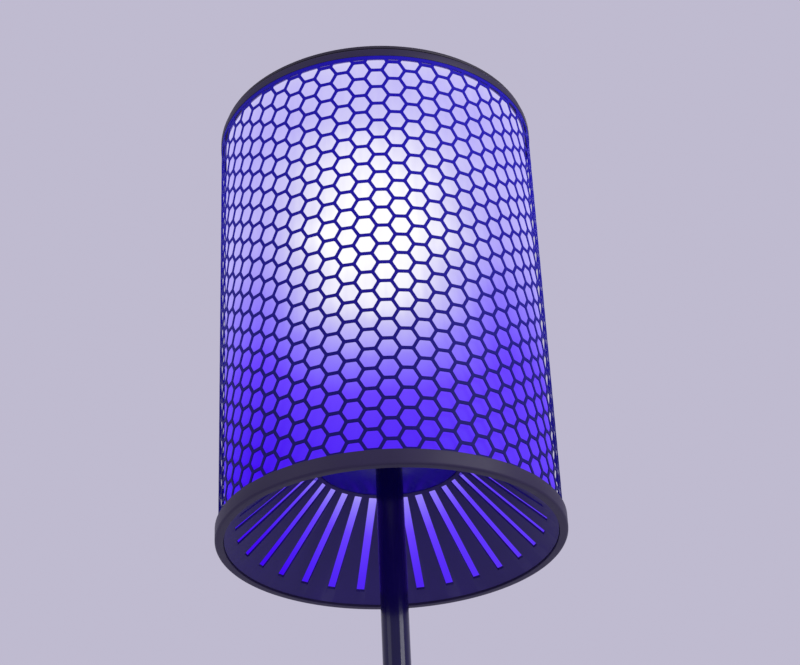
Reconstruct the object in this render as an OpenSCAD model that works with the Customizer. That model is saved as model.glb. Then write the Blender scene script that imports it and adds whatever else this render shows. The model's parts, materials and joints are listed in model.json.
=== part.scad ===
// Lantern bug zapper: a honeycomb-clad head with a slotted underside on a slim floor-standing pole.
// Millimetres, +Z up. The origin is the centre of the base on the floor; -Y is the front.

/* [Head] */
// Outer radius of the honeycomb guard
guard_r = 100; // [98:0.5:110]
// Thickness of the guard's perforated sheet
guard_t = 0.6; // [0.5:0.1:1.2]
// Height of the head from the lower edge of its bottom ring to the upper edge of its top ring
head_h = 282.5; // [275:0.5:330]
// Height of the bottom ring's lower edge above the floor
head_bottom = 712; // [450:1:1200]
// Height of the bottom ring's outer face
bottom_ring_h = 9.1; // [8.8:0.1:12]
// Height of the top ring's outer face
top_ring_h = 5.5; // [5.5:0.5:12]
// Rise of the top cover's dome above the top ring
dome_rise = 20; // [18:1:30]

/* [Bottom grille] */
// Number of radial slots
slot_count = 30; // [12:1:36]
// Width of a slot
slot_w = 5; // [3:0.5:6]
// Slope of the conical grille from the horizontal, in degrees
cone_slope = 42.7; // [38:0.1:44]
// Radius of the flat hub cover in the middle of the grille
hub_r = 43; // [36:0.5:46]
// Turn that lines the bayonet lugs up with their exits, in degrees
bayonet_turn = 18; // [12:1:20]

/* [Killing grid and lamp] */
// Number of rods in each of the two rod cages
grid_rod_count = 24; // [12:1:30]
// Radius of the inner cage
inner_cage_r = 60; // [58:0.5:62]
// Radius of the outer cage
outer_cage_r = 68; // [66:0.5:72]
// Diameter of a lamp tube
lamp_tube_d = 12; // [10:0.5:14]

/* [Pole] */
// Outer diameter of the pole
pole_d = 16; // [15:0.5:17]
// Wall thickness of the pole
pole_wall = 1.5; // [1:0.1:2]
// Height of the joint between the two pole lengths
pole_joint_z = 365; // [250:1:400]

/* [Base] */
// Diameter of the base cover
base_d = 250; // [240:1:320]
// Thickness of the steel base plate
plate_t = 10; // [9:0.5:12]
// Radius of the cord gland's bore
gland_bore_r = 3; // [2:0.1:3.5]

/* [Switch] */
// Diameter of the power button
button_d = 18; // [14:0.5:20]
// Number of turns of the button's spring
spring_turns = 3; // [2:1:3]

/* [Hidden] */
$fn = 128;
eps = 0.5;

// Rings and guard. Heights in the head are measured from the bottom ring's lower edge.
ring_r = guard_r + 2;
ring_edge_r = 1.5;
lip_r = guard_r - 3;
guard_in_r = guard_r - guard_t;
guard_seat_z = 4;
lip_top_z = 7;
top_ring_r = guard_r + 0.3;
top_ring_edge_r = 1.2;
top_ring_z = head_h - top_ring_h;
guard_top_z = top_ring_z;
spigot_in_r = guard_r - 2.2;
spigot_z = top_ring_z - 1;
tray_rim_top_z = head_h - 2;
ledge_in_r = guard_r - 6.4;

// Bayonet between the bottom ring and the grille
lug_count = 3;
lug_angle = 6;
lug_z = 5;
lug_h = 1.5;
lug_in_r = lip_r - 1.6;
groove_in_r = lug_in_r - 0.4;
groove_gap = 0.3;
groove_side = 4;

// Conical grille
grille_r = lip_r - 0.4;
grille_z = 1.2;
grille_t = 3.3;
collar_in_r = grille_r - 3.4;
collar_top_z = 9.5;
rise = tan(cone_slope);
slot_in_r = hub_r + 1.4;
slot_out_r = grille_r - 6.4;
hub_z = grille_z + (grille_r - hub_r) * rise;
hub_cover_t = 2.4;
hub_flange_z = hub_z + hub_cover_t + 0.1;
hub_flange_t = 2.4;
hub_flange_top_z = hub_flange_z + hub_flange_t;
function grille_top(r) = grille_z + grille_t + (grille_r - r) * rise;
function grille_top_r(z) = grille_r - (z - grille_z - grille_t) / rise;

// Pole and its socket in the head
pole_r = pole_d / 2;
bore_r = pole_r + 0.05;
pole_in_r = pole_r - pole_wall;
socket_z = hub_flange_top_z + 0.4;
socket_stop_z = 90;
socket_top_z = 96;
socket_r = pole_r + 5;
spider_z = 70;
spider_t = 6;
pole_top_z = socket_stop_z - 0.2;
plug_r = 3.5;
plug_top_z = 102;
jack_top_z = 112;

// Diffuser
diffuser_r = guard_r - 3.3;
diffuser_t = 3;
diffuser_in_r = diffuser_r - diffuser_t;
diffuser_z = collar_top_z + 1;
flange_z = spigot_z;
flange_top_z = flange_z + 3;
diffuser_top_z = flange_z + 2;

// Tray above the chamber
tray_z = flange_z - 14.5;
tray_t = 3;
tray_top_z = tray_z + tray_t;
tray_r = guard_r - 7.5;
board_z = tray_top_z + 6;
board_t = 1.6;
board_top_z = board_z + board_t;
board_r = 60;
standoff_circle_r = 52;

// Grid and its supports
insulator_in_r = 54;
insulator_out_r = 84;
insulator_t = 5;
lower_insulator_z = spider_z + spider_t;
upper_insulator_z = tray_z - 26;
rod_r = 1;
rod_seat = 4;
tie_count = 3;
tie_circle_r = 80;
tie_r = 2.5;
tie_start = 60;
nut_h = 4;

// Leads
wire_r = 0.8;
strip_h = 1.5;
lead_angle = 82.5;
lead_r = 48;
supply_r = 1.6;
supply_y = 38;
supply_z = jack_top_z - 4;

// Lamp
lamp_r = lamp_tube_d / 2;
lamp_x = 8.5;
lamp_z = jack_top_z + 8;
lamp_base_z = tray_z - 40;
lamp_socket_z = tray_z - 22;

// Top cover
seal_t = 1;
cover_z = head_h + seal_t;
cover_rim_r = guard_r - 1;
cover_rim_t = 2.5;
dome_r = guard_r - 7;
dome_top_z = head_h + dome_rise;
dome_t = 2.5;
dome_edge_z = cover_z + cover_rim_t;
dome_drop = dome_top_z - dome_edge_z;
dome_curve_r = (dome_r * dome_r + dome_drop * dome_drop) / (2 * dome_drop);
dome_centre_z = dome_top_z - dome_curve_r;
skirt_r = guard_r - 6.9;
skirt_t = 2.2;
cover_screw_count = 4;
cover_screw_circle_r = guard_r - 4.1;
cover_screw_r = 1.3;
cover_screw_head_r = 2.1;
cover_screw_head_t = 1.2;

// Power button, sprung against the switch on the circuit board
button_r = button_d / 2;
button_z = dome_top_z - 10;
button_h = 12;
button_flange_r = button_r + 2.2;
button_flange_t = 2;
button_hole_r = button_r + 0.4;
button_collar_r = button_hole_r + 3;
switch_top_z = button_z - 7;
plunger_top_z = button_z - 2.5;
spring_r = 5;
spring_wire_r = 0.5;
spring_sides = 8;
spring_steps = 16;

// Base
base_r = base_d / 2;
pad_t = 3;
plate_z = pad_t;
plate_r = base_r - 5;
pad_r = plate_r - 3;
pad_w = 20;
plate_top_z = plate_z + plate_t;
plate_hole_r = 18;
cover_skirt_z = 1;
cover_wall = 3;
base_edge_r = 6;
base_shoulder_z = plate_top_z + 7;
base_crown_z = base_shoulder_z + 7;
crown_r = 20;
base_screw_circle_r = base_r - 25;
base_screw_count = 3;
pole_flange_r = 30;
pole_flange_t = 4;
pole_seat_z = plate_top_z + 6;
flange_boss_r = 12;
flange_boss_top_z = plate_top_z + 23;
flange_screw_circle_r = 23;
flange_screw_r = 2.5;
collar_h = 16;
collar_step = 10;
collar_foot_r = crown_r + 3.6;
collar_neck_r = flange_boss_r + 1.6;
cable_r = 3;
gland_z = 8;
gland_r = gland_bore_r + 2;
gland_in_y = base_r - 11;
gland_notch_w = 2 * gland_r + 4;

function arc(cx, cz, r, from, to, steps = 6) =
  [for (i = [0 : steps]) let (a = from + (to - from) * i / steps) [cx + r * cos(a), cz + r * sin(a)]];

module disc(r, z, h) { translate([0, 0, z]) cylinder(r = r, h = h); }

module tube(outer, inner, z, h) {
  difference() {
    disc(outer, z, h);
    disc(inner, z - eps, h + 2 * eps);
  }
}

// Copies its children round the Z axis on a circle, the first one at the front
module around(count, r, start = 0) {
  for (i = [0 : count - 1]) rotate([0, 0, start + i * 360 / count]) translate([0, -r, 0]) children();
}

module in_head() { translate([0, 0, head_bottom]) children(); }

module block(size, x, y, z) { translate([x - size[0] / 2, y - size[1] / 2, z]) cube(size); }

// Sector of a ring, centred on the angle at, measured from the front
module sector(outer, inner, z, h, at, width) {
  rotate([0, 0, at - 90 - width / 2]) translate([0, 0, z])
    rotate_extrude(angle = width) translate([inner, 0]) square([outer - inner, h]);
}

// ---- stand ----

module base_pad() { color("#1a1a1c") tube(pad_r, pad_r - pad_w, 0, pad_t); }

module base_plate() {
  color("#5a5c60")
  difference() {
    tube(plate_r, plate_hole_r, plate_z, plate_t);
    // channel for a supply cord, from the gland to the terminal block
    translate([-4.5, 0, plate_z - eps]) cube([9, plate_r + 1, 7 + eps]);
    translate([-gland_notch_w / 2, gland_in_y - 3, plate_z - eps]) cube([gland_notch_w, 20, plate_t + 2 * eps]);
    around(3, flange_screw_circle_r) disc(flange_screw_r + 0.1, plate_z - eps, plate_t + 2 * eps);
    around(base_screw_count, base_screw_circle_r) {
      disc(2.1, plate_z - eps, plate_t + 2 * eps);
      disc(4.2, plate_z - eps, 4 + eps);
    }
  }
}

module base_cover() {
  in_r = base_r - cover_wall;
  color("#2b2a31")
  difference() {
    union() {
      rotate_extrude() polygon(concat(
        [[in_r, cover_skirt_z]],
        [[base_r, cover_skirt_z]],
        arc(base_r - base_edge_r, base_shoulder_z - base_edge_r, base_edge_r, 0, 78),
        [[crown_r, base_crown_z], [crown_r, base_crown_z - cover_wall],
         [in_r - base_edge_r, base_shoulder_z - cover_wall], [in_r, base_shoulder_z - base_edge_r]]));
      around(base_screw_count, base_screw_circle_r) disc(4, plate_top_z, 6);
    }
    around(base_screw_count, base_screw_circle_r) disc(1.6, plate_top_z - eps, 5);
    translate([0, base_r + 2, gland_z]) rotate([90, 0, 0]) cylinder(r = gland_r, h = 12);
  }
}

module base_cover_screws() {
  color("#b8b8bc")
  around(base_screw_count, base_screw_circle_r) {
    disc(3.8, plate_z + 1, 3);
    disc(1.5, plate_z + 3.5, plate_t + 0.5);
  }
}

module cord_gland() {
  color("#151517")
  translate([0, base_r - 0.2, gland_z]) rotate([90, 0, 0])
  difference() {
    union() {
      cylinder(r = gland_r - 0.05, h = base_r - 0.2 - gland_in_y);
      translate([0, 0, cover_wall + 0.5]) cylinder(r = gland_r + 1, h = 2);
    }
    translate([0, 0, -eps]) cylinder(r = gland_bore_r, h = base_r - gland_in_y + 2 * eps);
  }
}

module terminal_block() {
  color("#d8d4c8")
  difference() {
    block([26, 12, 8], 0, 0, plate_top_z - 9);
    for (x = [-8, 0, 8]) translate([x, 0, plate_top_z - 5]) rotate([90, 0, 0])
      cylinder(r = 1.8, h = 20, center = true);
  }
}

module pole_flange() {
  color("#6a6c70")
  difference() {
    union() {
      disc(pole_flange_r, plate_top_z, pole_flange_t);
      disc(flange_boss_r, plate_top_z, flange_boss_top_z - plate_top_z);
    }
    disc(bore_r, pole_seat_z, 40);
    disc(cable_r + 0.5, plate_top_z - eps, 20);
    around(3, flange_screw_circle_r) disc(flange_screw_r + 0.1, plate_top_z - eps, 10);
  }
}

module pole_flange_screws() {
  color("#b8b8bc")
  around(3, flange_screw_circle_r) {
    disc(flange_screw_r, plate_z + 1, plate_t + pole_flange_t);
    disc(4.2, plate_top_z + pole_flange_t, 3);
  }
}

module pole_collar() {
  z = base_crown_z;
  color("#202026")
  rotate_extrude() polygon(concat(
    [[bore_r, z + collar_h], [bore_r, z + collar_step], [flange_boss_r + 0.1, z + collar_step],
     [flange_boss_r + 0.1, z], [collar_foot_r, z]],
    arc(collar_foot_r, z + collar_step + 0.5, collar_foot_r - collar_neck_r, 270, 180, 10),
    arc(collar_neck_r - 3, z + collar_h - 3, 3, 0, 90)));
}

module pole_lower() { color("#101014") tube(pole_r, pole_in_r, pole_seat_z, pole_joint_z - pole_seat_z); }

module pole_joiner() {
  color("#909298") tube(pole_in_r - 0.05, pole_in_r - 1.5, pole_joint_z - 40, 80);
}

module pole_upper() {
  color("#101014") tube(pole_r, pole_in_r, pole_joint_z, head_bottom + pole_top_z - pole_joint_z);
}

module pole_cable() {
  color("#1c1c20") disc(cable_r, plate_top_z - 1, head_bottom + pole_top_z - 12 - plate_top_z + 1);
}

module pole_plug() {
  color("#c8b070") in_head() {
    disc(pole_in_r - 0.05, pole_top_z - 12, 12);
    disc(plug_r, pole_top_z, plug_top_z - pole_top_z - 1);
    translate([0, 0, plug_top_z - 1]) cylinder(r1 = plug_r, r2 = plug_r - 1, h = 1);
  }
}

// ---- head ----

module pole_socket() {
  color("#6a6c70") in_head()
  difference() {
    union() {
      disc(socket_r, socket_z, socket_top_z - socket_z);
      disc(socket_r + 12, spider_z - 4, 4);
    }
    disc(bore_r, socket_z - eps, socket_stop_z - socket_z + eps);
    disc(plug_r + 1.5, socket_stop_z - eps, 10);
    around(3, socket_r + 7, tie_start) disc(2.1, spider_z - 5, 6);
  }
}

module pole_socket_screws() {
  color("#b8b8bc") in_head()
  around(3, socket_r + 7, tie_start) {
    disc(3.5, spider_z - 6.5, 2.5);
    disc(2, spider_z - 4, 9);
  }
}

module head_jack() {
  color("#e0ddd2") in_head()
  difference() {
    disc(9, socket_top_z, jack_top_z - socket_top_z);
    disc(plug_r + 0.05, socket_top_z - eps, plug_top_z + 1 - socket_top_z + eps);
  }
}

// Three-armed frame that carries the grid and the tie rods on the pole socket
module lower_spider() {
  color("#d9d7e4") in_head()
  difference() {
    union() {
      disc(socket_r + 12, spider_z, spider_t);
      around(tie_count, 0, tie_start) translate([-5, -diffuser_in_r + 1, spider_z]) cube([10, 70, spider_t]);
      around(tie_count, tie_circle_r, tie_start) disc(6.5, spider_z, spider_t);
    }
    disc(socket_r + 0.1, spider_z - eps, spider_t + 2 * eps);
    around(tie_count, socket_r + 7, tie_start) disc(2.05, spider_z - eps, 5.5);
    around(tie_count, tie_circle_r, tie_start) disc(tie_r + 0.05, spider_z - eps, spider_t + 2 * eps);
  }
}

module bottom_ring() {
  color("#3a3742") in_head() {
    rotate_extrude() polygon(concat(
      [[lip_r, lip_top_z], [lip_r, 0]],
      arc(ring_r - ring_edge_r, ring_edge_r, ring_edge_r, 270, 360),
      [[ring_r, bottom_ring_h], [guard_r, bottom_ring_h], [guard_r, guard_seat_z],
       [guard_in_r, guard_seat_z], [guard_in_r, lip_top_z]]));
    for (i = [0 : lug_count - 1]) sector(lip_r + 0.5, lug_in_r, lug_z, lug_h, i * 360 / lug_count, lug_angle);
  }
}

// The rolled sheet keeps its full wall here; its hexagonal perforations belong to the finished surface
module honeycomb_guard() {
  color("#2a2a4a") in_head() tube(guard_r, guard_in_r, guard_seat_z, guard_top_z - guard_seat_z);
}

module diffuser_sleeve() {
  color("#cfc8ff") in_head() tube(diffuser_r, diffuser_in_r, diffuser_z, diffuser_top_z - diffuser_z);
}

// Sits flush on the guard, with a spigot inside it, and holds down the tray's rim
module top_ring() {
  color("#3a3742") in_head()
  difference() {
    rotate_extrude() polygon(concat(
      [[spigot_in_r, tray_rim_top_z], [spigot_in_r, spigot_z], [guard_in_r - 0.05, spigot_z],
       [guard_in_r - 0.05, top_ring_z], [top_ring_r, top_ring_z]],
      arc(top_ring_r - top_ring_edge_r, head_h - top_ring_edge_r, top_ring_edge_r, 0, 90),
      [[ledge_in_r, head_h], [ledge_in_r, tray_rim_top_z]]));
    around(cover_screw_count, cover_screw_circle_r, 45) disc(cover_screw_r + 0.1, tray_rim_top_z - eps, 6);
  }
}

module electronics_tray() {
  rim_in_r = guard_r - 6.2;
  rim_r = spigot_in_r - 0.2;
  color("#8d8a99") in_head()
  difference() {
    rotate_extrude() polygon([
      [12, tray_z], [tray_r, tray_z], [tray_r, flange_z], [diffuser_in_r - 0.1, flange_z],
      [diffuser_in_r - 0.1, diffuser_top_z], [diffuser_r + 0.1, diffuser_top_z], [diffuser_r + 0.1, flange_z],
      [rim_r, flange_z], [rim_r, tray_rim_top_z], [rim_in_r, tray_rim_top_z], [rim_in_r, flange_top_z],
      [tray_r - 2.5, flange_top_z], [tray_r - 2.5, tray_top_z], [12, tray_top_z]]);
    around(cover_screw_count, cover_screw_circle_r, 45)
      disc(cover_screw_r + 0.05, tray_rim_top_z - 2.3, 4);
    around(tie_count, tie_circle_r, tie_start) disc(tie_r + 0.05, tray_z - eps, tray_t + 2 * eps);
    for (side = [-1, 1]) rotate([0, 0, side * lead_angle]) translate([0, -lead_r, 0])
      disc(wire_r + 0.7, tray_z - eps, tray_t + 2 * eps);
    translate([0, supply_y, 0]) disc(supply_r + 0.6, tray_z - eps, tray_t + 2 * eps);
  }
}

module tie_rods() {
  color("#c0c0c8") in_head()
  around(tie_count, tie_circle_r, tie_start) disc(tie_r, spider_z - nut_h - 1, tray_top_z + nut_h + 2 - spider_z + nut_h);
}

module tie_rod_spacers() {
  z = lower_insulator_z + insulator_t;
  color("#e8e6f2") in_head() {
    around(tie_count, tie_circle_r, tie_start) tube(tie_r + 1, tie_r + 0.05, z, upper_insulator_z - z);
    around(tie_count, tie_circle_r, tie_start)
      tube(tie_r + 1, tie_r + 0.05, upper_insulator_z + insulator_t, tray_z - upper_insulator_z - insulator_t);
  }
}

module hex_nut(z) {
  difference() {
    translate([0, 0, z]) cylinder(r = 4.6, h = nut_h, $fn = 6);
    disc(tie_r + 0.05, z - eps, nut_h + 2 * eps);
  }
}

module tie_rod_nuts() {
  color("#b8b8bc") in_head()
  around(tie_count, tie_circle_r, tie_start) {
    hex_nut(spider_z - nut_h);
    hex_nut(tray_top_z);
  }
}

// Insulating ring with blind seats for the rods; seat_z is the seats' lower end
module insulator(z, seat_z) {
  difference() {
    tube(insulator_out_r, insulator_in_r, z, insulator_t);
    around(tie_count, tie_circle_r, tie_start) disc(tie_r + 0.05, z - eps, insulator_t + 2 * eps);
    around(grid_rod_count, inner_cage_r) disc(rod_r + 0.05, seat_z, rod_seat + eps);
    around(grid_rod_count, outer_cage_r) disc(rod_r + 0.05, seat_z, rod_seat + eps);
  }
}

module lower_insulator() {
  color("#f0eefa") in_head() insulator(lower_insulator_z, lower_insulator_z + insulator_t - rod_seat);
}

module upper_insulator() { color("#f0eefa") in_head() insulator(upper_insulator_z, upper_insulator_z - eps); }

module grid_rods(cage_r) {
  z = lower_insulator_z + insulator_t - rod_seat;
  around(grid_rod_count, cage_r) disc(rod_r, z, upper_insulator_z + rod_seat - z);
}

module inner_grid_rods() { color("#d0d0d6") in_head() grid_rods(inner_cage_r); }

module outer_grid_rods() { color("#d0d0d6") in_head() grid_rods(outer_cage_r); }

// Each cage's rods are joined by a strip, and a stiff lead runs from the strip inwards and up to the board
module grid_leads() {
  strip_z = upper_insulator_z - strip_h;
  color("#c04040") in_head() {
    tube(inner_cage_r - rod_r, inner_cage_r - rod_r - 1, strip_z, strip_h);
    rotate([0, 0, lead_angle]) bent_lead(inner_cage_r - rod_r - 0.5, upper_insulator_z - 0.8, 0);
    tube(outer_cage_r + rod_r + 1, outer_cage_r + rod_r, strip_z, strip_h);
    rotate([0, 0, -lead_angle]) bent_lead(outer_cage_r + rod_r + 0.5, strip_z - 1.3, 1.5);
  }
}

// Lead at the front: up for a stub's height at from_r, along z inwards to lead_r, then up to the board
module bent_lead(from_r, z, stub) {
  translate([0, -from_r, z]) rotate([-90, 0, 0]) cylinder(r = wire_r, h = from_r - lead_r);
  if (stub > 0) translate([0, -from_r, z]) cylinder(r = wire_r, h = stub);
  translate([0, -lead_r, z]) sphere(r = wire_r);
  translate([0, -lead_r, z]) cylinder(r = wire_r, h = board_z - z);
}

module lamp_leads() {
  color("#3050b0") in_head()
  for (x = [-6, 6]) translate([x, 0, tray_z]) cylinder(r = wire_r, h = board_z - tray_z);
}

// Supply lead from the jack on the pole's end up to the board
module supply_lead() {
  color("#1c1c20") in_head() {
    translate([0, 9, supply_z]) rotate([-90, 0, 0]) cylinder(r = supply_r, h = supply_y - 9);
    translate([0, supply_y, supply_z]) sphere(r = supply_r);
    translate([0, supply_y, supply_z]) cylinder(r = supply_r, h = board_z - supply_z);
  }
}

module uv_lamp() {
  color("#b9a8ff") in_head() {
    for (x = [-lamp_x, lamp_x]) {
      translate([x, 0, lamp_z]) cylinder(r = lamp_r, h = lamp_base_z - lamp_z);
      translate([x, 0, lamp_z]) sphere(r = lamp_r);
    }
    translate([-lamp_x, 0, lamp_z + 6]) rotate([0, 90, 0]) cylinder(r = 3, h = 2 * lamp_x);
  }
}

module lamp_base() {
  color("#f4f3f8") in_head() {
    block([34, 18, lamp_socket_z - lamp_base_z], 0, 0, lamp_base_z);
  }
}

module lamp_socket() {
  color("#e8e6ee") in_head() {
    block([42, 26, tray_z - lamp_socket_z], 0, 0, lamp_socket_z);
  }
}

module circuit_board() {
  color("#1f6b3a") in_head()
  difference() {
    disc(board_r, board_z, board_t);
    around(3, standoff_circle_r) disc(1.6, board_z - eps, board_t + 2 * eps);
  }
}

module board_standoffs() {
  color("#c8b070") in_head()
  around(3, standoff_circle_r) {
    disc(3, tray_top_z, board_z - tray_top_z);
    disc(1.5, board_z, board_t + 2);
  }
}

module hv_transformer() {
  color("#c9a63c") in_head() {
    difference() {
      block([30, 26, 14], -30, 8, board_top_z);
      block([18, 30, 6], -30, 8, board_top_z + 4);
    }
    translate([-30, 8 - 12, board_top_z + 7]) rotate([-90, 0, 0]) cylinder(r = 6, h = 24);
  }
}

module hv_capacitors() {
  color("#a03a2a") in_head()
  for (y = [-18, 0, 18]) translate([34, y, board_top_z]) cylinder(r = 6.5, h = 14);
}

module lamp_driver() {
  color("#e6e2c8") in_head() {
    block([40, 18, 12], 0, -36, board_top_z);
  }
}

module power_switch() {
  color("#3c3c44") in_head() {
    block([15, 15, switch_top_z - board_top_z], 0, 0, board_top_z);
    disc(2.5, switch_top_z - eps, plunger_top_z - switch_top_z + eps);
  }
}

module cover_seal() {
  color("#1a1a1c") in_head()
  difference() {
    tube(cover_rim_r - 0.5, ledge_in_r + 0.1, head_h, seal_t);
    around(cover_screw_count, cover_screw_circle_r, 45) disc(cover_screw_r + 0.1, head_h - eps, 3);
  }
}

module top_cover() {
  in_curve_r = dome_curve_r - dome_t;
  dome_angle = asin(dome_r / dome_curve_r);
  in_angle = asin((skirt_r - skirt_t) / in_curve_r);
  hole_angle = asin(button_hole_r / dome_curve_r);
  color("#2b2a31") in_head()
  difference() {
    rotate_extrude() polygon(concat(
      [[skirt_r, flange_top_z + 0.5], [skirt_r, cover_z], [cover_rim_r, cover_z]],
      arc(cover_rim_r - 1, dome_edge_z - 1, 1, 0, 90, 3),
      arc(0, dome_centre_z, dome_curve_r, 90 - dome_angle, 90 - hole_angle, 16),
      [[button_hole_r, dome_top_z - 5], [button_collar_r, dome_top_z - 5]],
      arc(0, dome_centre_z, in_curve_r, 87, 90 - in_angle, 16),
      [[skirt_r - skirt_t, flange_top_z + 0.5]]));
    around(cover_screw_count, cover_screw_circle_r, 45) {
      disc(cover_screw_r + 0.1, cover_z - eps, 6);
      disc(cover_screw_head_r + 0.15, dome_edge_z - cover_screw_head_t - 0.1, 4);
    }
  }
}

module top_cover_screws() {
  color("#1c1c20") in_head()
  around(cover_screw_count, cover_screw_circle_r, 45)
  difference() {
    union() {
      disc(cover_screw_r, tray_rim_top_z - 2, dome_edge_z - tray_rim_top_z + 1);
      disc(cover_screw_head_r, dome_edge_z - cover_screw_head_t - 0.1, cover_screw_head_t);
    }
    translate([0, 0, dome_edge_z - 0.8]) cylinder(r = 1, h = 2, $fn = 6);
  }
}

// ---- grille, turned to release it ----

module slotted_grille() {
  color("#35323e") in_head()
  difference() {
    rotate_extrude() polygon([
      [grille_r, grille_z], [hub_r, hub_z], [hub_r, hub_flange_z], [hub_r - 6, hub_flange_z],
      [hub_r - 6, hub_flange_top_z], [grille_top_r(hub_flange_top_z), hub_flange_top_z],
      [collar_in_r, grille_top(collar_in_r)], [collar_in_r, collar_top_z], [grille_r, collar_top_z]]);
    around(slot_count, 0) translate([-slot_w / 2, -slot_out_r, -eps])
      cube([slot_w, slot_out_r - slot_in_r, hub_flange_top_z + 2]);
    for (i = [0 : lug_count - 1]) {
      at = i * 360 / lug_count;
      sector(grille_r + 1, groove_in_r, lug_z - groove_gap, lug_h + 2 * groove_gap,
        at - bayonet_turn / 2, bayonet_turn + 2 * groove_side);
      sector(grille_r + 1, groove_in_r, lug_z - groove_gap, collar_top_z, at - bayonet_turn, 2 * groove_side);
    }
  }
}

module hub_cover() { color("#15141c") in_head() tube(hub_r - 0.3, pole_r + 0.4, hub_z, hub_cover_t); }

// ---- button ----

module power_button() {
  color("#484650") in_head()
  rotate_extrude() polygon(concat(
    [[0, button_z], [button_flange_r, button_z], [button_flange_r, button_z + button_flange_t],
     [button_r, button_z + button_flange_t]],
    arc(button_r - 1, button_z + button_h - 1, 1, 0, 90, 4),
    [[0, button_z + button_h - 0.6]]));
}

function ring_points(a, z) = [for (s = [0 : spring_sides - 1])
  let (b = s * 360 / spring_sides, r = spring_r + spring_wire_r * cos(b))
  [r * cos(a), r * sin(a), z + spring_wire_r * sin(b)]];

// Closed helical wire between the switch and the underside of the button
module button_spring() {
  rings = spring_turns * spring_steps;
  low = switch_top_z + spring_wire_r;
  pitch = (button_z - spring_wire_r - low) / rings;
  points = [for (i = [0 : rings]) each ring_points(i * 360 / spring_steps, low + i * pitch)];
  sides = [for (i = [0 : rings - 1], s = [0 : spring_sides - 1])
    let (a = i * spring_sides + s, b = i * spring_sides + (s + 1) % spring_sides)
    [a, b, b + spring_sides, a + spring_sides]];
  first_end = [for (s = [spring_sides - 1 : -1 : 0]) s];
  last_end = [for (s = [0 : spring_sides - 1]) rings * spring_sides + s];
  color("#c0c0c8") in_head() polyhedron(points, concat(sides, [first_end, last_end]), 4);
}

base_pad();
base_plate();
base_cover();
base_cover_screws();
cord_gland();
terminal_block();
pole_flange();
pole_flange_screws();
pole_collar();
pole_lower();
pole_joiner();
pole_upper();
pole_cable();
pole_plug();
pole_socket();
pole_socket_screws();
head_jack();
lower_spider();
bottom_ring();
honeycomb_guard();
diffuser_sleeve();
top_ring();
electronics_tray();
tie_rods();
tie_rod_spacers();
tie_rod_nuts();
lower_insulator();
upper_insulator();
inner_grid_rods();
outer_grid_rods();
grid_leads();
lamp_leads();
supply_lead();
uv_lamp();
lamp_base();
lamp_socket();
circuit_board();
board_standoffs();
hv_transformer();
hv_capacitors();
lamp_driver();
power_switch();
cover_seal();
top_cover();
top_cover_screws();
slotted_grille();
hub_cover();
power_button();
button_spring();
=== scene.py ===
"""Looks of the lantern bug zapper: a glowing frosted sleeve behind a honeycomb guard, on a slim pole.

Everything is in metres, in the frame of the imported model: +Z up, -Y the front. Heights in the head are
measured from the lower edge of its bottom ring.
"""

import json
import math

import bmesh
import bpy
from mathutils import Matrix, Vector

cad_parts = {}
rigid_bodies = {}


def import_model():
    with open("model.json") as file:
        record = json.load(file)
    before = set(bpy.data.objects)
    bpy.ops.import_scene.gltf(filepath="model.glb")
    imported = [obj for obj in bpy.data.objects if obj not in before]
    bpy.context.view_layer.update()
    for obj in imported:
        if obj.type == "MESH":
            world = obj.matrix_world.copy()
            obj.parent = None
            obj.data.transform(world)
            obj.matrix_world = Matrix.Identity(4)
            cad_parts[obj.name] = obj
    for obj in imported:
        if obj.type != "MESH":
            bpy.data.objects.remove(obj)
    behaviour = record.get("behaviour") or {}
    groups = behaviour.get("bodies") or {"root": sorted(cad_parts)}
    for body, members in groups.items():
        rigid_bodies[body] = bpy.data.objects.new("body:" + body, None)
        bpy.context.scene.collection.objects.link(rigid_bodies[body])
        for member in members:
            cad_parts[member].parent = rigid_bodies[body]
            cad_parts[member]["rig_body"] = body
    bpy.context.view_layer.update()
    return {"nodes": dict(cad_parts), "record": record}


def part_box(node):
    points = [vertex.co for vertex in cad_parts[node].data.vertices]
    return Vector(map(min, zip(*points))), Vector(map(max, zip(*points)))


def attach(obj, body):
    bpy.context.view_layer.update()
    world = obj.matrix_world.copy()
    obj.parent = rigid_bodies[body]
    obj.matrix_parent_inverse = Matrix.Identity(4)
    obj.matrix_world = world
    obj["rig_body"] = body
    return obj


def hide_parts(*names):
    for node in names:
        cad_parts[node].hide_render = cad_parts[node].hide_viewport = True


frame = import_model()
scene = bpy.context.scene

MM = 0.001
TAU = 2 * math.pi


# ---- sizes, from the frame ----


def low(node):
    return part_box(node)[0]


def high(node):
    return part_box(node)[1]


def radius(node):
    return high(node).x


HEAD_Z = low("bottom_ring").z
RING_R = radius("bottom_ring")
GUARD_R = radius("honeycomb_guard")
SHEET_T = 0.6 * MM
GUARD_IN_R = GUARD_R - SHEET_T
GUARD_TOP = high("honeycomb_guard").z
LIP_R = GUARD_R - 3 * MM
RING_EDGE = 1.5 * MM
FINE_EDGE = 0.4 * MM
FIT_GAP = 0.02 * MM


# ---- node graphs ----


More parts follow.
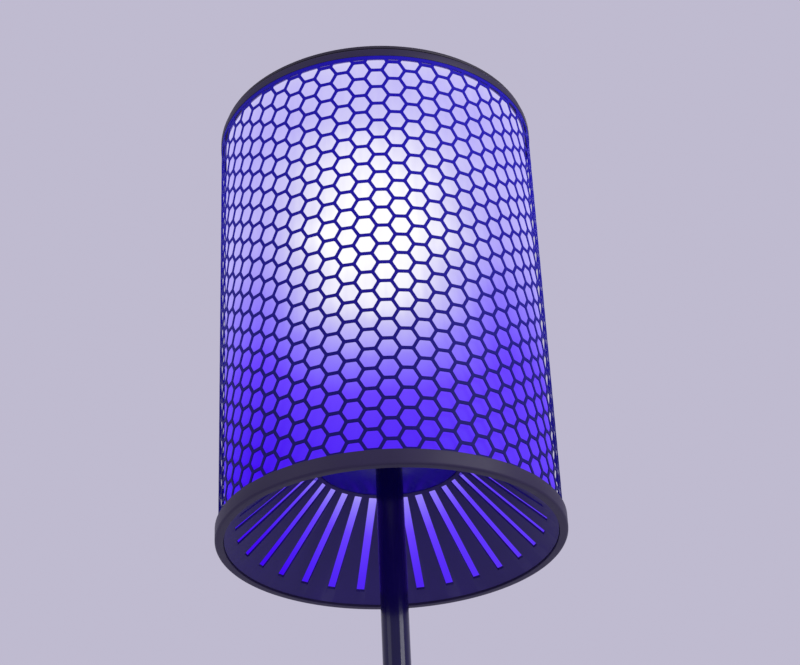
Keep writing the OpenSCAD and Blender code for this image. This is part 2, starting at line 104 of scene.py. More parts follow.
class Graph:
    """A material's or world's nodes, written as expressions."""

    def __init__(self, owner):
        owner.use_nodes = True
        self.tree = owner.node_tree
        self.tree.nodes.clear()

    def node(self, kind, inputs=None, **settings):
        made = self.tree.nodes.new(kind)
        for name, value in settings.items():
            setattr(made, name, value)
        for name, value in (inputs or {}).items():
            self.feed(made.inputs[name], value)
        return made

    def feed(self, socket, value):
        if isinstance(value, bpy.types.NodeSocket):
            self.tree.links.new(value, socket)
        else:
            socket.default_value = value

    def math(self, operation, a, b=0.0):
        return self.node("ShaderNodeMath", {0: a, 1: b}, operation=operation).outputs[0]

    def spread(self, value, low_in, high_in, low_out=0.0, high_out=1.0, smooth=False):
        kind = "SMOOTHSTEP" if smooth else "LINEAR"
        inputs = {"Value": value, "From Min": low_in, "From Max": high_in,
                  "To Min": low_out, "To Max": high_out}
        return self.node("ShaderNodeMapRange", inputs, interpolation_type=kind).outputs[0]

    def mix(self, share, a, b):
        made = self.node("ShaderNodeMix", data_type="RGBA")
        for socket, value in zip((made.inputs[0], made.inputs[6], made.inputs[7]), (share, a, b)):
            self.feed(socket, value)
        return made.outputs[2]

    def position(self):
        return self.node("ShaderNodeTexCoord").outputs["Object"]

    def axes(self, vector):
        return self.node("ShaderNodeSeparateXYZ", {0: vector}).outputs

    def noise(self, vector, scale, detail=3.0):
        inputs = {"Vector": vector, "Scale": scale, "Detail": detail}
        return self.node("ShaderNodeTexNoise", inputs).outputs[0]

    def stretched(self, vector, x, y, z):
        return self.node("ShaderNodeMapping", {"Vector": vector, "Scale": (x, y, z)}).outputs[0]

    def around_axis(self, vector):
        """Radius and height only, so that noise on it makes turned rings."""
        x, y, z = self.axes(vector)
        flat = self.node("ShaderNodeCombineXYZ", {0: x, 1: y}).outputs[0]
        r = self.node("ShaderNodeVectorMath", {0: flat}, operation="LENGTH").outputs["Value"]
        return self.node("ShaderNodeCombineXYZ", {0: r, 2: z}).outputs[0]

    def bump(self, height, depth):
        inputs = {"Strength": 1.0, "Distance": depth, "Height": height}
        return self.node("ShaderNodeBump", inputs).outputs[0]

    def curve(self, value, points):
        made = self.node("ShaderNodeFloatCurve", {"Value": value})
        line = made.mapping.curves[0].points
        for x, y in points[1:-1]:
            line.new(x, y)
        for point, (x, y) in zip(line, points):
            point.location = (x, y)
        made.mapping.update()
        return made.outputs[0]

    def ramp(self, value, stops):
        made = self.node("ShaderNodeValToRGB", {0: value})
        stairs = made.color_ramp.elements
        while len(stairs) < len(stops):
            stairs.new(1.0)
        for stair, (place, colour) in zip(stairs, stops):
            stair.position = place
            stair.color = (*colour, 1.0)
        return made.outputs[0]

    def principled(self, **inputs):
        shader = self.node("ShaderNodeBsdfPrincipled", {k.replace("_", " "): v for k, v in inputs.items()})
        output = self.node("ShaderNodeOutputMaterial")
        self.tree.links.new(shader.outputs[0], output.inputs["Surface"])


def screen(red, green, blue):
    """A linear colour from the values that a screen shows it with, 0 to 255."""
    shares = (red / 255, green / 255, blue / 255)
    return tuple(v / 12.92 if v <= 0.04045 else ((v + 0.055) / 1.055) ** 2.4 for v in shares)


# ---- materials ----

MATERIALS = {}


def finish(slot, colour, rough, *, metallic=0.0, grain=1400, depth=0.02, blotch=0.12, wear=0.25,
           specular=0.5, coat=0.0, turned=False, along=False):
    """A finish with grain in its bump, blotches in its colour and roughness, and paler worn edges.
    grain is in cells per metre and depth in millimetres. turned stretches the grain round the axis, and
    along stretches it up and down."""
    material = bpy.data.materials.new(slot)
    g = Graph(material)
    place = g.position()
    if turned:
        lay = g.around_axis(place)
    elif along:
        lay = g.stretched(place, 1.0, 1.0, 0.04)
    else:
        lay = place
    fine = g.noise(lay, grain, 4.0)
    broad = g.noise(place, 38.0, 4.0)
    dark = (*(c * (1 - blotch) for c in colour), 1.0)
    pale = (*(min(1.0, c * (1 + blotch)) for c in colour), 1.0)
    worn = (*(c + (0.6 - c) * 0.12 for c in colour), 1.0)
    mottled = g.mix(g.spread(g.math("ADD", fine, broad), 0.7, 1.3), dark, pale)
    edge = g.spread(g.node("ShaderNodeNewGeometry").outputs["Pointiness"], 0.53, 0.62, 0.0, wear)
    base = g.mix(g.math("MULTIPLY", edge, g.spread(broad, 0.35, 0.65)), mottled, worn)
    gloss = g.spread(g.math("ADD", fine, broad), 0.6, 1.4, rough * 0.82, min(1.0, rough * 1.2))
    g.principled(Base_Color=base, Roughness=gloss, Metallic=metallic, Specular_IOR_Level=specular,
                 Coat_Weight=coat, Coat_Roughness=0.06, Normal=g.bump(fine, depth * MM))
    MATERIALS[slot] = material


def glow_level(g, place):
    """How bright the painted glow of the sleeve is, 0 to 1: the tube's light through the sleeve, painted on
    in place, brightest before the tube, at the front and at the back.
    """
    x, y, z = g.axes(place)
    rise = g.spread(z, HEAD_Z, HEAD_Z + 280 * MM)
    depth = g.math("ABSOLUTE", y)
    turn = g.math("ARCTAN2", g.math("ABSOLUTE", g.math("ADD", x, g.math("MULTIPLY", depth, 0.07))), depth)
    turn = g.math("MULTIPLY", turn, 180 / math.pi)
    # Painted glow before the tube: a fast rise from the dark foot, a white middle, a slight fall and a
    # bright upper edge
    centre = g.curve(rise, [(0.0, 0.05), (0.1, 0.14), (0.3, 0.67), (0.42, 0.98), (0.65, 0.98), (0.94, 0.76),
                            (1.0, 0.97)])
    # Painted glow round the sides: a slow and even rise, and the same bright upper edge
    side = g.curve(rise, [(0.0, 0.05), (0.2, 0.14), (0.65, 0.67), (0.94, 0.7), (1.0, 0.94)])
    # Painted light: low on the sleeve the glow is a little brighter towards +X and dimmer towards -X
    lean = g.math("MULTIPLY", g.spread(x, -80 * MM, 80 * MM, -0.08, 0.1), g.spread(rise, 0.35, 0.1))
    side = g.math("ADD", side, lean)
    below, above = g.spread(rise, 0.45, 0.55, smooth=True), g.spread(rise, 0.65, 0.55, smooth=True)
    tubes = g.math("MULTIPLY", below, above)
    inner = g.math("ADD", 4.0, g.math("MULTIPLY", tubes, 8.0))
    lobe = g.spread(turn, 50.0, inner, smooth=True)
    mixed = g.math("ADD", g.math("MULTIPLY", lobe, centre),
                   g.math("MULTIPLY", g.math("SUBTRACT", 1.0, lobe), side))
    return mixed


GLOW_COLOURS = [
    (0.0, screen(66, 8, 238)), (0.25, screen(106, 66, 252)), (0.5, screen(148, 130, 246)),
    (0.8, screen(208, 203, 242)), (1.0, screen(255, 254, 252)),
]


def frosted_diffuser():
    """Frosted acrylic; the tube's light through it is painted on as emission."""
    material = bpy.data.materials.new("frosted_diffuser")
    g = Graph(material)
    place = g.position()
    level = glow_level(g, place)
    streaks = g.noise(g.stretched(place, 1.0, 1.0, 0.12), 260.0, 3.0)
    clouds = g.noise(place, 55.0, 3.0)
    uneven = g.spread(g.math("ADD", streaks, clouds), 0.6, 1.4, 0.955, 1.045)
    light = g.ramp(g.math("MULTIPLY", level, uneven), GLOW_COLOURS)
    frosting = g.noise(place, 2600.0, 2.0)
    base = g.mix(g.spread(clouds, 0.3, 0.7), (*screen(10, 0, 66), 1), (*screen(16, 2, 80), 1))
    rough = g.spread(frosting, 0.3, 0.7, 0.42, 0.6)
    g.principled(Base_Color=base, Roughness=rough, Specular_IOR_Level=0.1, Emission_Color=light,
                 Emission_Strength=1.0, Normal=g.bump(frosting, 0.02 * MM))
    MATERIALS["frosted_diffuser"] = material


def guard_paint():
    """Navy paint. The navy stands in for blue light falling on dark paint, and the stronger blue towards
    the top is a painted glow, where the sleeve behind it shines through its edges.
    """
    material = bpy.data.materials.new("guard_paint")
    g = Graph(material)
    place = g.position()
    rise = g.spread(g.axes(place)[2], HEAD_Z + 40 * MM, HEAD_Z + 220 * MM)
    grain = g.noise(place, 2200.0, 4.0)
    # Painted glow: from dark navy low down to a stronger blue higher up, where the sleeve's light shines
    # through the guard
    shade = g.mix(rise, (*screen(16, 4, 100), 1), (*screen(24, 4, 172), 1))
    base = g.mix(g.spread(grain, 0.35, 0.65, 0.0, 0.12), shade, (*screen(70, 60, 160), 1))
    g.principled(Base_Color=base, Roughness=g.spread(grain, 0.3, 0.7, 0.5, 0.68), Specular_IOR_Level=0.12,
                 Normal=g.bump(grain, 0.02 * MM))
    MATERIALS["guard_paint"] = material


def uv_tube():
    """Phosphor-coated tube: nearly white in the middle, violet at its ends."""
    material = bpy.data.materials.new("uv_tube")
    g = Graph(material)
    place = g.position()
    _, _, z = g.axes(place)
    low_end, high_end = low("uv_lamp").z, high("uv_lamp").z
    share = g.spread(z, low_end, high_end)
    ends = g.curve(share, [(0.0, 0.1), (0.12, 0.85), (0.5, 1.0), (0.88, 0.85), (1.0, 0.1)])
    powder = g.noise(place, 900.0, 3.0)
    light = g.mix(ends, (*screen(96, 60, 240), 1), (*screen(214, 200, 255), 1))
    g.principled(Base_Color=g.mix(powder, (0.62, 0.58, 0.8, 1), (0.7, 0.66, 0.86, 1)),
                 Roughness=g.spread(powder, 0.3, 0.7, 0.1, 0.2), Coat_Weight=0.6,
                 Emission_Color=light, Emission_Strength=2.0, Normal=g.bump(powder, 0.01 * MM))
    MATERIALS["uv_tube"] = material


def make_materials():
    finish("ring_charcoal", screen(38, 29, 64), 0.5, grain=1500, depth=0.03, wear=0.3, specular=0.35)
    # grille_charcoal is a lit copy of the ring's charcoal plastic: its stronger violet-blue is painted
    # light from the glow inside the head
    finish("grille_charcoal", screen(42, 28, 104), 0.5, grain=1500, depth=0.03, wear=0.2, specular=0.3)
    # The hub is gloss black; its vivid violet-blue colour is a painted reflection of blue room light
    finish("hub_gloss_black", screen(28, 4, 150), 0.2, grain=700, depth=0.005, wear=0.1, specular=0.25)
    finish("dark_housing", screen(38, 32, 50), 0.5, grain=1300, depth=0.04, wear=0.3, specular=0.4)
    finish("tray_grey", screen(130, 116, 190), 0.5, grain=1200, depth=0.02)
    finish("frame_white", screen(214, 208, 238), 0.55, grain=1000, depth=0.03, blotch=0.05)
    finish("ceramic", screen(236, 232, 222), 0.35, grain=600, depth=0.02, blotch=0.05)
    # The pole is gloss black; its deep blue tint is a painted reflection of blue room light
    finish("pole_gloss_black", screen(13, 5, 62), 0.14, grain=420, depth=0.004, wear=0.1, specular=0.3,
           coat=0.12, along=True)
    finish("base_steel", (0.42, 0.43, 0.45), 0.42, metallic=1.0, grain=1600, depth=0.01, turned=True)
    finish("fastener_black", (0.02, 0.02, 0.024), 0.4, metallic=0.6, grain=2400, depth=0.01, turned=True)
    finish("fastener_steel", (0.60, 0.60, 0.62), 0.3, metallic=1.0, grain=2400, depth=0.01, turned=True)
    finish("grid_steel", (0.70, 0.70, 0.74), 0.22, metallic=1.0, grain=900, depth=0.005, along=True)
    finish("contact_brass", (0.75, 0.58, 0.28), 0.3, metallic=1.0, grain=2000, depth=0.01, turned=True)
    finish("rubber", (0.02, 0.02, 0.022), 0.8, grain=1800, depth=0.06, specular=0.3)
    finish("cable_black", (0.02, 0.02, 0.025), 0.6, grain=1200, depth=0.03)
    finish("lead_red", (0.55, 0.06, 0.05), 0.35, grain=900, depth=0.01)
    finish("lead_blue", (0.05, 0.10, 0.50), 0.35, grain=900, depth=0.01)
    finish("board_green", (0.03, 0.20, 0.07), 0.3, grain=700, depth=0.01, coat=0.3)
    finish("button_grey", screen(92, 88, 104), 0.42, grain=1500, depth=0.03)
    guard_paint()
    frosted_diffuser()
    uv_tube()


# ---- mesh helpers ----


def place_piece(name, bm, slot, node, sharp=35):
    """Makes the piece from its mesh. It stands for the CAD node and rides on the node's body."""
    bmesh.ops.recalc_face_normals(bm, faces=bm.faces)
    mesh = bpy.data.meshes.new(name)
    bm.to_mesh(mesh)
    bm.free()
    mesh.shade_smooth()
    mesh.set_sharp_from_angle(angle=math.radians(sharp))
    mesh.materials.append(MATERIALS[slot])
    piece = bpy.data.objects.new(name, mesh)
    scene.collection.objects.link(piece)
    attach(piece, frame["nodes"][node]["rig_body"])
    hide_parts(node)
    return piece


def rounded(outline, steps=5):
    """A closed outline of (r, z) points, in which each (r, z, radius) corner becomes an arc."""
    points = []
    for i, corner in enumerate(outline):
        here = Vector(corner[:2])
        if len(corner) == 2:
            points.append(here)
            continue
        back = Vector(outline[i - 1][:2]) - here
        ahead = Vector(outline[(i + 1) % len(outline)][:2]) - here
        reach = min(back.length, ahead.length) * 0.49
        a, b = back.normalized(), ahead.normalized()
        half = a.angle(b) / 2
        tangent = min(corner[2] / math.tan(half), reach)
        centre = here + (a + b).normalized() * tangent / math.cos(half)
        start, end = here + a * tangent - centre, here + b * tangent - centre
        turn = start.angle_signed(end)
        for k in range(steps + 1):
            points.append(centre + Matrix.Rotation(-turn * k / steps, 2) @ start)
    return points


def lathe(outline, turns, start=0.0):
    """A closed outline turned round the Z axis. start shifts its first column, in radians."""
    bm = bmesh.new()
    rings = []
    for r, z in outline:
        if r < 1e-6:
            rings.append([bm.verts.new((0, 0, z))])
            continue
        angles = [start + TAU * k / turns for k in range(turns)]
        rings.append([bm.verts.new((r * math.sin(a), -r * math.cos(a), z)) for a in angles])
    for a, b in zip(rings, rings[1:] + rings[:1]):
        for k in range(turns):
            n = k + 1
            corners = [a[k % len(a)], a[n % len(a)], b[n % len(b)], b[k % len(b)]]
            corners = list(dict.fromkeys(corners))
            if len(corners) > 2:
                bm.faces.new(corners)
    return bm


def sector(bm, in_r, out_r, low_z, high_z, centre, width, steps=8):
    """A closed block of a ring, centred on the angle centre, in degrees from the front."""
    rows = []
    for k in range(steps + 1):
        a = math.radians(centre + width * (k / steps - 0.5))
        corners = [(in_r, low_z), (out_r, low_z), (out_r, high_z), (in_r, high_z)]
        rows.append([bm.verts.new((r * math.sin(a), -r * math.cos(a), z)) for r, z in corners])
    for a, b in zip(rows, rows[1:]):
        for k in range(4):
            bm.faces.new([a[k], a[(k + 1) % 4], b[(k + 1) % 4], b[k]])
    bm.faces.new(rows[0])
    bm.faces.new(rows[-1][::-1])


def cut(piece, bm):
    """Takes a closed cutter out of the piece."""
    bmesh.ops.recalc_face_normals(bm, faces=bm.faces)
    mesh = bpy.data.meshes.new("cutter")
    bm.to_mesh(mesh)
    bm.free()
    cutter = bpy.data.objects.new("cutter", mesh)
    scene.collection.objects.link(cutter)
    step = piece.modifiers.new("cut", "BOOLEAN")
    step.object = cutter
    step.solver = "EXACT"
    apply_modifiers(piece)
    bpy.data.objects.remove(cutter)


def screw_holes(piece, hole_r, low_z, high_z):
    """The four holes of the top cover's screws."""
    bm = bmesh.new()
    for k in range(4):
        a = math.radians(45 + 90 * k)
        reach = GUARD_R - 4.1 * MM
        middle = Matrix.Translation((reach * math.sin(a), -reach * math.cos(a), (low_z + high_z) / 2))
        bmesh.ops.create_cone(bm, cap_ends=True, segments=32, radius1=hole_r, radius2=hole_r,
                              depth=high_z - low_z, matrix=middle)
    cut(piece, bm)


def apply_modifiers(piece):
    with bpy.context.temp_override(object=piece, active_object=piece):
        for step in list(piece.modifiers):
            bpy.ops.object.modifier_apply(modifier=step.name)


def ease_edges(piece, width, angle):
    """Rounds the piece's sharp edges a little."""
    step = piece.modifiers.new("eased_edges", "BEVEL")
    step.width = width
    step.segments = 2
    step.limit_method = "ANGLE"
    step.angle_limit = math.radians(angle)
    step.harden_normals = True


# ---- honeycomb guard ----

COLUMNS = 60
HALF_ROW = 6.25 * MM
ROW_ZERO_Z = HEAD_Z + 147.5 * MM
FIRST_ROW, LAST_ROW = -22, 24
OPEN_SHARE = 0.838
CORNER_SHARE = 0.11
BAND_H = 2.4 * MM
BAND_FACES = 240


def hole_outline():
    """The opening's corners in units of a third of the column pitch and a half row, with cut corners."""
    corners = [(2, 0), (1, 1), (-1, 1), (-2, 0), (-1, -1), (1, -1)]
    points = []
    for i, corner in enumerate(corners):
        here = Vector(corner)
        back, ahead = Vector(corners[i - 1]), Vector(corners[(i + 1) % 6])
        near, far = here.lerp(back, CORNER_SHARE), here.lerp(ahead, CORNER_SHARE)
        middle = (near + far) / 2 * 0.45 + here * 0.55
        points.append([p * OPEN_SHARE for p in (near, middle, far)])
    return corners, points


def honeycomb_guard():
    """A rolled sheet of hexagonal openings: the sheet's face first, then its thickness."""
    bm = bmesh.new()
    corners, opening = hole_outline()
    third = TAU / COLUMNS / 3
    shared = {}

    def point(across, up):
        angle, z = across * third, ROW_ZERO_Z - up * HALF_ROW
        return bm.verts.new((GUARD_R * math.sin(angle), -GUARD_R * math.cos(angle), z))

    def corner_point(across, up):
        key = (across % (3 * COLUMNS), up)
        if key not in shared:
            shared[key] = point(across, up)
        return shared[key]

    for column in range(COLUMNS):
        for row in range(FIRST_ROW, LAST_ROW + 1):
            if (column + row) % 2:
                continue
            outer = [corner_point(3 * column + x, row + y) for x, y in corners]
            inner = [[point(3 * column + p.x, row + p.y) for p in trio] for trio in opening]
            for i in range(6):
                n = (i + 1) % 6
                bm.faces.new([outer[i], outer[n], inner[n][0], inner[i][2]])
                bm.faces.new([outer[i], inner[i][2], inner[i][1]])
                bm.faces.new([outer[i], inner[i][1], inner[i][0]])
    margin = GUARD_TOP - BAND_H
    for height, up in ((low("honeycomb_guard").z, -1), (margin, 1)):
        geometry = bm.verts[:] + bm.edges[:] + bm.faces[:]
        bmesh.ops.bisect_plane(bm, geom=geometry, plane_co=(0, 0, height), plane_no=(0, 0, up),
                               clear_outer=True)
    for k in range(BAND_FACES):
        angles = (TAU * k / BAND_FACES, TAU * (k + 1) / BAND_FACES)
        side = [Vector((math.sin(a), -math.cos(a), 0)) * GUARD_R for a in angles]
        bm.faces.new([bm.verts.new(p + Vector((0, 0, z))) for p, z in
                      zip((side[0], side[1], side[1], side[0]), (margin, margin, GUARD_TOP, GUARD_TOP))])
    bmesh.ops.remove_doubles(bm, verts=bm.verts, dist=0.002 * MM)
    piece = place_piece("guard_honeycomb", bm, "guard_paint", "honeycomb_guard", sharp=50)
    sheet = piece.modifiers.new("thickness", "SOLIDIFY")
    sheet.thickness = SHEET_T
    sheet.offset = -1.0
    ease_edges(piece, 0.12 * MM, angle=60)
    return piece


# ---- rings, sleeve and cover of the head ----

# The bayonet between the bottom ring and the grille, in degrees
LUGS = 3
LUG_WIDTH = 6
BAYONET_TURN = 18
GROOVE_WIDTH = 8


def bottom_ring():
    z = HEAD_Z
    top = high("bottom_ring").z
    outline = rounded([
        (LIP_R, z + 7 * MM, 0.3 * MM), (LIP_R, z, 0.2 * MM), (RING_R, z, RING_EDGE),
        (RING_R, top, FINE_EDGE), (GUARD_R + FIT_GAP, top, 0.2 * MM),
        (GUARD_R + FIT_GAP, z + 4 * MM), (GUARD_IN_R - FIT_GAP, z + 4 * MM),
        (GUARD_IN_R - FIT_GAP, z + 7 * MM, 0.2 * MM),
    ])
    bm = lathe(outline, 300)
    for lug in range(LUGS):
        at = lug * 360 / LUGS
        sector(bm, LIP_R - 1.6 * MM, LIP_R + 0.5 * MM, z + 5 * MM, z + 6.5 * MM, at, LUG_WIDTH)
    place_piece("ring_bottom", bm, "ring_charcoal", "bottom_ring", sharp=50)


def top_ring():
    """Flush on the guard, with a spigot inside it."""
    outer, top = radius("top_ring"), high("top_ring").z
    spigot_r, ledge_r, in_guard = GUARD_R - 2.2 * MM, GUARD_R - 6.4 * MM, GUARD_IN_R - 0.05 * MM
    spigot_z, seat = low("top_ring").z, high("electronics_tray").z
    outline = rounded([
        (spigot_r, seat), (spigot_r, spigot_z, 0.2 * MM), (in_guard, spigot_z, 0.2 * MM),
        (in_guard, GUARD_TOP), (outer, GUARD_TOP, 0.3 * MM), (outer, top, 1.2 * MM),
        (ledge_r, top, 0.3 * MM), (ledge_r, seat, 0.3 * MM),
    ])
    piece = place_piece("ring_top", lathe(outline, 300), "ring_charcoal", "top_ring", sharp=50)
    screw_holes(piece, 1.4 * MM, seat - 1 * MM, top + 1 * MM)


def diffuser_sleeve():
    bottom, top = low("diffuser_sleeve").z, high("diffuser_sleeve").z
    outer = radius("diffuser_sleeve")
    inner = outer - 3 * MM
    middle = [bottom + (top - bottom) * k / 12 for k in range(1, 12)]
    edge = 0.4 * MM
    outside = [(outer, bottom, edge)] + [(outer, z) for z in middle] + [(outer, top, edge)]
    inside = [(inner, top, edge)] + [(inner, z) for z in reversed(middle)] + [(inner, bottom, edge)]
    outline = rounded(outside + inside, 3)
    place_piece("sleeve_frosted", lathe(outline, 240), "frosted_diffuser", "diffuser_sleeve", sharp=50)


def top_cover():
    rim_z, rim_r = high("cover_seal").z, radius("top_cover")
    dome_top = high("top_cover").z
    rim_top, dome_r, hole_r = rim_z + 2.5 * MM, GUARD_R - 7 * MM, radius("power_button") - 1.8 * MM
    drop = dome_top - rim_top
    curve_r = (dome_r**2 + drop**2) / (2 * drop)

    def dome(r, inset=0.0):
        return dome_top - curve_r + math.sqrt((curve_r - inset) ** 2 - r**2)

    skirt_r, skirt_z = GUARD_R - 6.9 * MM, low("top_cover").z
    steps = [hole_r + (dome_r - hole_r) * k / 24 for k in range(25)]
    wall = 2.5 * MM
    well = dome_top - 5 * MM
    outline = rounded([
        (skirt_r, skirt_z, 0.5 * MM), (skirt_r, rim_z), (rim_r, rim_z, 0.4 * MM),
        (rim_r, rim_top, 1.0 * MM),
        (dome_r + 0.6 * MM, rim_top, 0.5 * MM)] + [(r, dome(r)) for r in reversed(steps[1:-1])] + [
        (hole_r, dome(hole_r), 0.5 * MM), (hole_r, well, 0.4 * MM), (hole_r + 3 * MM, well, 0.4 * MM)] + [
        (r, dome(r, wall)) for r in steps if hole_r + 3 * MM < r < skirt_r - 4 * MM] + [
        (skirt_r - 2.2 * MM, skirt_z, 0.5 * MM),
    ])
    piece = place_piece("cover_top", lathe(outline, 240), "dark_housing", "top_cover", sharp=32)
    screw_holes(piece, 1.4 * MM, rim_z - 1 * MM, rim_top - 1 * MM)
    screw_holes(piece, 2.25 * MM, rim_top - 1.3 * MM, rim_top + 1 * MM)


def power_button():
    bottom, top = low("power_button").z, high("power_button").z
    flange_r = radius("power_button")
    r = flange_r - 2.2 * MM
    flange_top = bottom + 2 * MM
    dish = [(r * k / 8, top - 0.7 * MM * (1 - (k / 8) ** 2)) for k in range(7)]
    outline = rounded([
        (0, bottom), (flange_r, bottom, 0.3 * MM), (flange_r, flange_top, 0.3 * MM),
        (r, flange_top, 0.3 * MM),
        (r, top, 0.8 * MM), (r * 0.86, top, 0.8 * MM)] + dish[::-1])
    place_piece("button_cap", lathe(outline, 96), "button_grey", "power_button", sharp=40)


# ---- grille under the head ----

SLOTS = 30
SLOT_W = 5 * MM


def slotted_grille():
    z, r = low("slotted_grille").z, radius("slotted_grille")
    hub_r, hub_z = radius("hub_cover") + 0.3 * MM, low("hub_cover").z
    slope = (hub_z - z) / (r - hub_r)
    flange_z, top = hub_z + 2.5 * MM, high("slotted_grille").z
    collar_r, collar_top = r - 3.4 * MM, HEAD_Z + 9.5 * MM

    def upper(at_r, wall):
        return z + wall + (r - at_r) * slope

    flange_r = r - (top - z - 3.3 * MM) / slope
    hub_edge, thin_edge, rim_r = hub_r + 1.2 * MM, hub_r + 2.4 * MM, r + 0.2 * MM
    outline = rounded([
        (rim_r, z, 0.15 * MM), (hub_r, hub_z, 0.3 * MM), (hub_r, flange_z),
        (hub_r - 6 * MM, flange_z, 0.3 * MM),
        (hub_r - 6 * MM, top, 0.3 * MM), (flange_r, top, 0.3 * MM), (hub_edge, upper(hub_edge, 3.3 * MM)),
        (thin_edge, upper(thin_edge, 1.7 * MM)), (collar_r, upper(collar_r, 1.7 * MM)),
        (collar_r, collar_top, 0.3 * MM), (rim_r, collar_top, 0.3 * MM),
    ], 4)
    cone = lathe(outline, 240, start=TAU / 480)
    piece = place_piece("grille_cone", cone, "grille_charcoal", "slotted_grille")
    cutter = bmesh.new()
    slot_in, slot_out = hub_r + 1.4 * MM, r - 6.4 * MM
    for k in range(SLOTS):
        turn = Matrix.Rotation(TAU * k / SLOTS, 4, "Z")
        middle = Vector((0, -(slot_in + slot_out) / 2, HEAD_Z + 30 * MM))
        size = Matrix.Diagonal((SLOT_W, slot_out - slot_in, 70 * MM, 1))
        bmesh.ops.create_cube(cutter, size=1, matrix=turn @ Matrix.Translation(middle) @ size)
    exits = bmesh.new()
    groove_z, groove_r, groove_h = HEAD_Z + 4.7 * MM, LIP_R - 2 * MM, 2.1 * MM
    for lug in range(LUGS):
        at = lug * 360 / LUGS
        sector(cutter, groove_r, r + 1 * MM, groove_z, groove_z + groove_h, at - BAYONET_TURN / 2,
               BAYONET_TURN + GROOVE_WIDTH)
        sector(exits, groove_r, r + 1 * MM, groove_z + groove_h / 2, collar_top + 5 * MM,
               at - BAYONET_TURN, GROOVE_WIDTH)
    cut(piece, cutter)
    cut(piece, exits)
    piece.data.set_sharp_from_angle(angle=math.radians(30))
    ease_edges(piece, 0.2 * MM, angle=35)


def hub_cover():
    bottom, top = low("hub_cover").z, high("hub_cover").z
    outer, hole = radius("hub_cover"), radius("pole_upper") + 0.4 * MM
    outline = rounded([(hole, bottom, 0.4 * MM), (outer, bottom, 0.6 * MM), (outer, top), (hole, top)])
    place_piece("hub_plate", lathe(outline, 180), "hub_gloss_black", "hub_cover")


# ---- pole and base ----


def pole():
    for node, piece in (("pole_lower", "pole_tube_lower"), ("pole_upper", "pole_tube_upper")):
        r, bottom, top = radius(node), low(node).z, high(node).z
        bore = r - 1.5 * MM
        ends = 0.35 * MM
        outline = rounded([(bore, bottom, ends), (r, bottom, ends), (r, top, ends), (bore, top, ends)], 3)
        place_piece(piece, lathe(outline, 96), "pole_gloss_black", node)


def pole_collar():
    bottom, top = low("pole_collar").z, high("pole_collar").z
    foot_r, bore, boss = radius("pole_collar"), radius("pole_lower") + 0.05 * MM, 12.1 * MM
    neck_r = boss + 1.5 * MM
    step = bottom + 10 * MM
    sweep = foot_r - neck_r
    flare = [(foot_r - sweep * math.sin(a), step + 0.5 * MM - sweep * math.cos(a))
             for a in (math.pi / 2 * k / 14 for k in range(1, 15))]
    inside = [(bore, top, 0.3 * MM), (bore, step), (boss, step), (boss, bottom)]
    outline = rounded(inside + [(foot_r, bottom + 0.01 * MM)] + flare + [(neck_r, top, 3 * MM)])
    place_piece("collar_pole", lathe(outline, 128), "dark_housing", "pole_collar")


def base_cover():
    outer, crown_r = radius("base_cover"), 20 * MM
    wall, edge = 3 * MM, 6 * MM
    skirt, crown = low("base_cover").z, high("base_cover").z
    shoulder = crown - 7 * MM
    outline = rounded([
        (outer - wall, skirt, 0.4 * MM), (outer, skirt, 0.8 * MM), (outer, shoulder - 0.6 * MM, edge),
        (crown_r, crown, 0.4 * MM), (crown_r, crown - wall, 0.4 * MM),
        (outer - wall, shoulder - wall, edge - wall),
    ], 10)
    piece = place_piece("cover_base", lathe(outline, 300), "dark_housing", "base_cover", sharp=50)
    gland = bmesh.new()
    z = (low("cord_gland").z + high("cord_gland").z) / 2
    lie = Matrix.Translation((0, outer, z)) @ Matrix.Rotation(math.pi / 2, 4, "X")
    gland_r = 5 * MM
    bmesh.ops.create_cone(gland, cap_ends=True, segments=48, radius1=gland_r, radius2=gland_r,
                          depth=20 * MM, matrix=lie)
    cut(piece, gland)


def carried_over_nodes():
    """The CAD nodes that stay: each gets its slot's finish and eased edges."""
    for entry in frame["record"]["subparts"]:
        node, slot = frame["nodes"][entry["node"]], entry["material_slot"]
        if node.hide_render:
            continue
        node.data.materials.clear()
        node.data.materials.append(MATERIALS[slot])
        weld = node.modifiers.new("weld", "WELD")
        weld.merge_threshold = 0.002 * MM
        ease_edges(node, 0.15 * MM, angle=35)


# ---- lights and camera ----

CAMERA_DISTANCE = 0.9952
CAMERA_HEIGHT = 0.2667
CAMERA_AROUND = 0.02372
CAMERA_YAW = 0.03412
CAMERA_PITCH = 0.53199
CAMERA_ROLL = 0.04704
CAMERA_LENS = 84.43
SENSOR_WIDTH = 36.0
FLOOR_R = 6.0


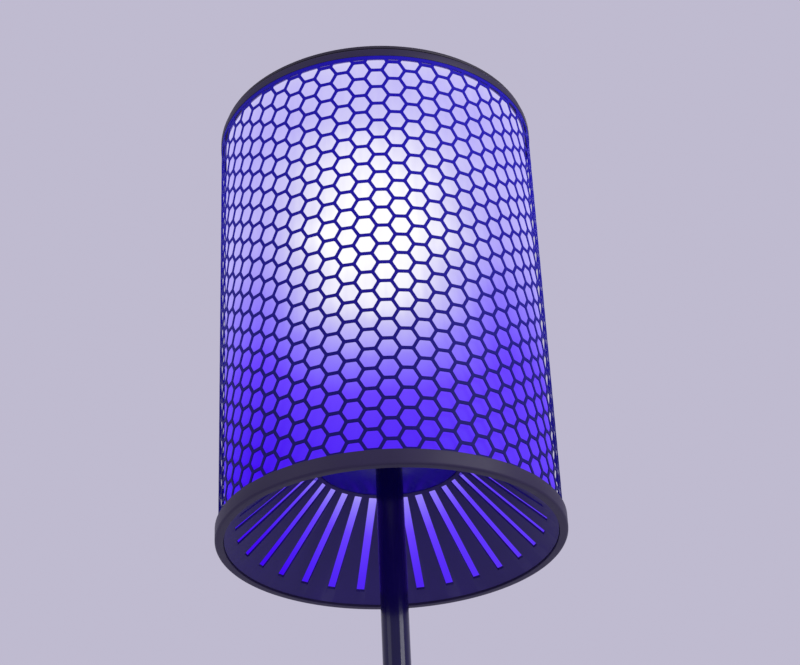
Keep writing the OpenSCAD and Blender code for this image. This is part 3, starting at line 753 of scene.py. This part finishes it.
def camera():
    data = bpy.data.cameras.new("camera")
    data.lens = CAMERA_LENS
    data.sensor_width = SENSOR_WIDTH
    data.clip_start, data.clip_end = 0.05, 50.0
    eye = bpy.data.objects.new("camera", data)
    scene.collection.objects.link(eye)
    level = math.cos(CAMERA_PITCH)
    ahead = Vector((math.sin(CAMERA_YAW) * level, math.cos(CAMERA_YAW) * level, math.sin(CAMERA_PITCH)))
    right = Vector((math.cos(CAMERA_YAW), -math.sin(CAMERA_YAW), 0))
    up = right.cross(ahead)
    tilt = Matrix.Rotation(CAMERA_ROLL, 3, ahead)
    axes = Matrix((tilt @ right, tilt @ up, -ahead)).transposed()
    place = Vector((-math.sin(CAMERA_AROUND), -math.cos(CAMERA_AROUND), 0)) * CAMERA_DISTANCE
    eye.matrix_world = Matrix.Translation(place + Vector((0, 0, CAMERA_HEIGHT))) @ axes.to_4x4()
    scene.camera = eye


def area_light(name, place, target, width, height, watts):
    data = bpy.data.lights.new(name, "AREA")
    data.shape = "RECTANGLE"
    data.size, data.size_y = width, height
    data.energy = watts
    lamp = bpy.data.objects.new(name, data)
    scene.collection.objects.link(lamp)
    lamp.location = place
    lamp.rotation_euler = (Vector(target) - Vector(place)).to_track_quat("-Z", "Y").to_euler()


def floor():
    """A plain pale floor, which isn't part of the object."""
    bm = bmesh.new()
    bmesh.ops.create_circle(bm, cap_ends=True, segments=96, radius=FLOOR_R)
    mesh = bpy.data.meshes.new("floor")
    bm.to_mesh(mesh)
    bm.free()
    ground = bpy.data.objects.new("floor", mesh)
    scene.collection.objects.link(ground)
    material = bpy.data.materials.new("floor")
    g = Graph(material)
    place = g.position()
    shade = g.mix(g.noise(place, 3.0), (0.66, 0.65, 0.70, 1), (0.70, 0.69, 0.74, 1))
    g.principled(Base_Color=shade, Roughness=0.7, Normal=g.bump(g.noise(place, 220.0), 0.2 * MM))
    mesh.materials.append(material)


def studio():
    world = bpy.data.worlds.new("studio")
    scene.world = world
    g = Graph(world)
    back = g.node("ShaderNodeBackground", {"Color": (0.58, 0.55, 0.70, 1), "Strength": 0.9})
    output = g.node("ShaderNodeOutputWorld")
    g.tree.links.new(back.outputs[0], output.inputs[0])
    middle = Vector((0, 0, HEAD_Z + 0.1))
    area_light("key", (1.9, -1.5, 1.7), middle, 1.4, 1.4, 24)
    area_light("fill", (-1.9, -1.2, 1.4), middle, 1.2, 1.6, 5)
    area_light("rim", (0.2, 1.6, 2.6), middle, 1.2, 1.2, 12)
    area_light("strip", (0.7, -1.0, 0.5), (0, 0, 0.5), 0.05, 1.4, 2)
    scene.view_settings.view_transform = "Standard"


make_materials()
honeycomb_guard()
bottom_ring()
top_ring()
diffuser_sleeve()
top_cover()
power_button()
slotted_grille()
hub_cover()
pole()
pole_collar()
base_cover()
carried_over_nodes()
floor()
studio()
camera()
